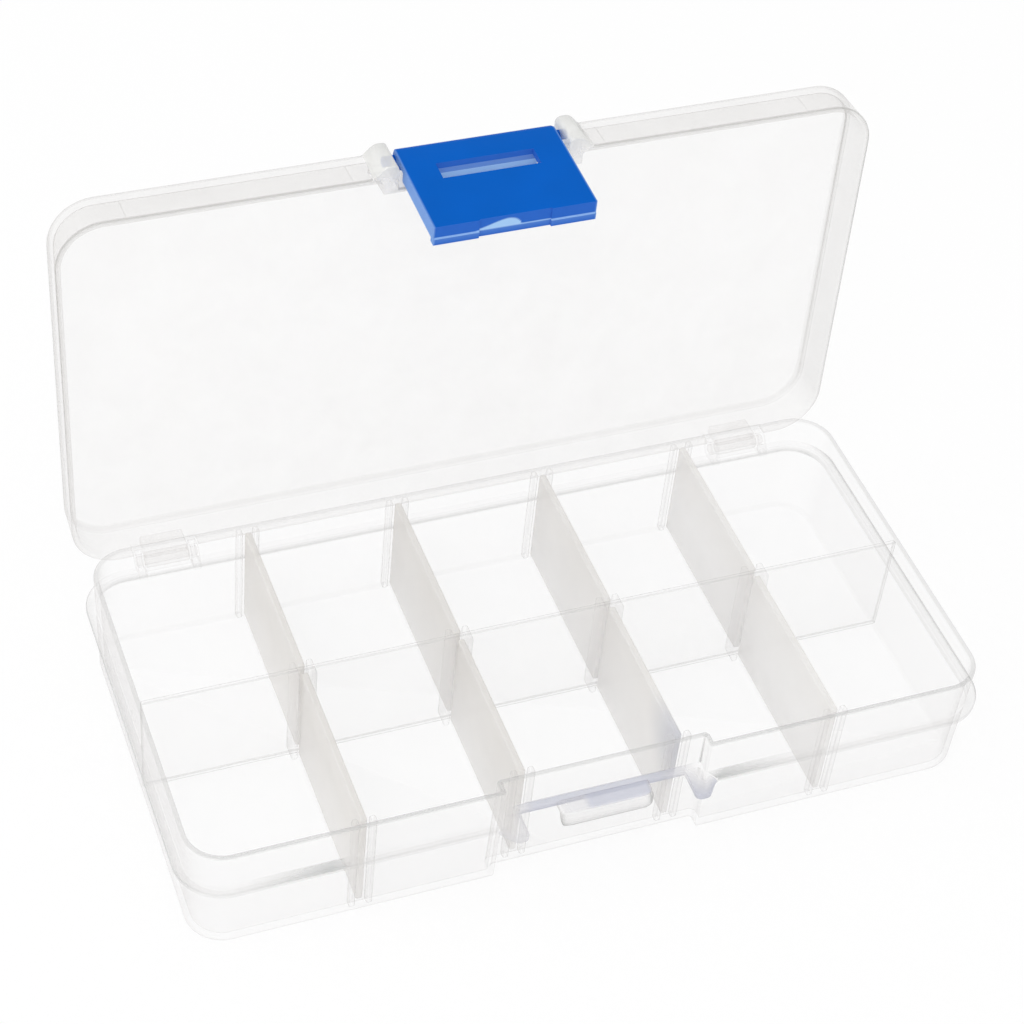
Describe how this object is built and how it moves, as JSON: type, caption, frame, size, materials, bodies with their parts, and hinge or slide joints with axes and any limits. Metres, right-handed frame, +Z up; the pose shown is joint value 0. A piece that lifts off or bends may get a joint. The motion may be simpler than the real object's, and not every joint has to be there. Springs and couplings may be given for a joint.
{
  "type": "compartment organizer box",
  "caption": "Clear hinged plastic organizer box, lid standing open, with lift-out dividers in a tray and a blue latch on the lid.",
  "frame": {"origin": "middle of the tray's underside, on the table", "axes": "+X along the box, +Y towards the hinges, -Y towards the latch, +Z up"},
  "size_m": [0.1298, 0.0797, 0.0833],
  "materials": {
    "clear_plastic": "clear moulded polypropylene, glossy, slightly milky",
    "frosted_plastic": "frosted moulded polypropylene, translucent",
    "blue_plastic": "opaque blue moulded polypropylene, satin"
  },
  "bodies": {
    "tray": {"tray": "clear_plastic"},
    "lid": {"lid": "clear_plastic"},
    "latch": {"latch": "blue_plastic"},
    "divider_front_1": {"divider_front_1": "frosted_plastic"},
    "divider_front_2": {"divider_front_2": "frosted_plastic"},
    "divider_front_3": {"divider_front_3": "frosted_plastic"},
    "divider_front_4": {"divider_front_4": "frosted_plastic"},
    "divider_rear_1": {"divider_rear_1": "frosted_plastic"},
    "divider_rear_2": {"divider_rear_2": "frosted_plastic"},
    "divider_rear_3": {"divider_rear_3": "frosted_plastic"},
    "divider_rear_4": {"divider_rear_4": "frosted_plastic"}
  },
  "joints": [
    {"name": "lid_hinge", "type": "hinge", "parent": "tray", "child": "lid", "pos_m": [0, 0.0341, 0.0141], "axis": [-1, 0, 0], "range_deg": [-92, 0]},
    {"name": "latch_hinge", "type": "hinge", "parent": "lid", "child": "latch", "pos_m": [0, 0.04113, 0.0808], "axis": [-1, 0, 0], "range_deg": [0, 175]},
    {"name": "divider_front_1_lift", "type": "slide", "parent": "tray", "child": "divider_front_1", "axis": [0, 0, 1], "range_m": [0, 0.025]},
    {"name": "divider_front_2_lift", "type": "slide", "parent": "tray", "child": "divider_front_2", "axis": [0, 0, 1], "range_m": [0, 0.025]},
    {"name": "divider_front_3_lift", "type": "slide", "parent": "tray", "child": "divider_front_3", "axis": [0, 0, 1], "range_m": [0, 0.025]},
    {"name": "divider_front_4_lift", "type": "slide", "parent": "tray", "child": "divider_front_4", "axis": [0, 0, 1], "range_m": [0, 0.025]},
    {"name": "divider_rear_1_lift", "type": "slide", "parent": "tray", "child": "divider_rear_1", "axis": [0, 0, 1], "range_m": [0, 0.025]},
    {"name": "divider_rear_2_lift", "type": "slide", "parent": "tray", "child": "divider_rear_2", "axis": [0, 0, 1], "range_m": [0, 0.025]},
    {"name": "divider_rear_3_lift", "type": "slide", "parent": "tray", "child": "divider_rear_3", "axis": [0, 0, 1], "range_m": [0, 0.025]},
    {"name": "divider_rear_4_lift", "type": "slide", "parent": "tray", "child": "divider_rear_4", "axis": [0, 0, 1], "range_m": [0, 0.025]}
  ]
}
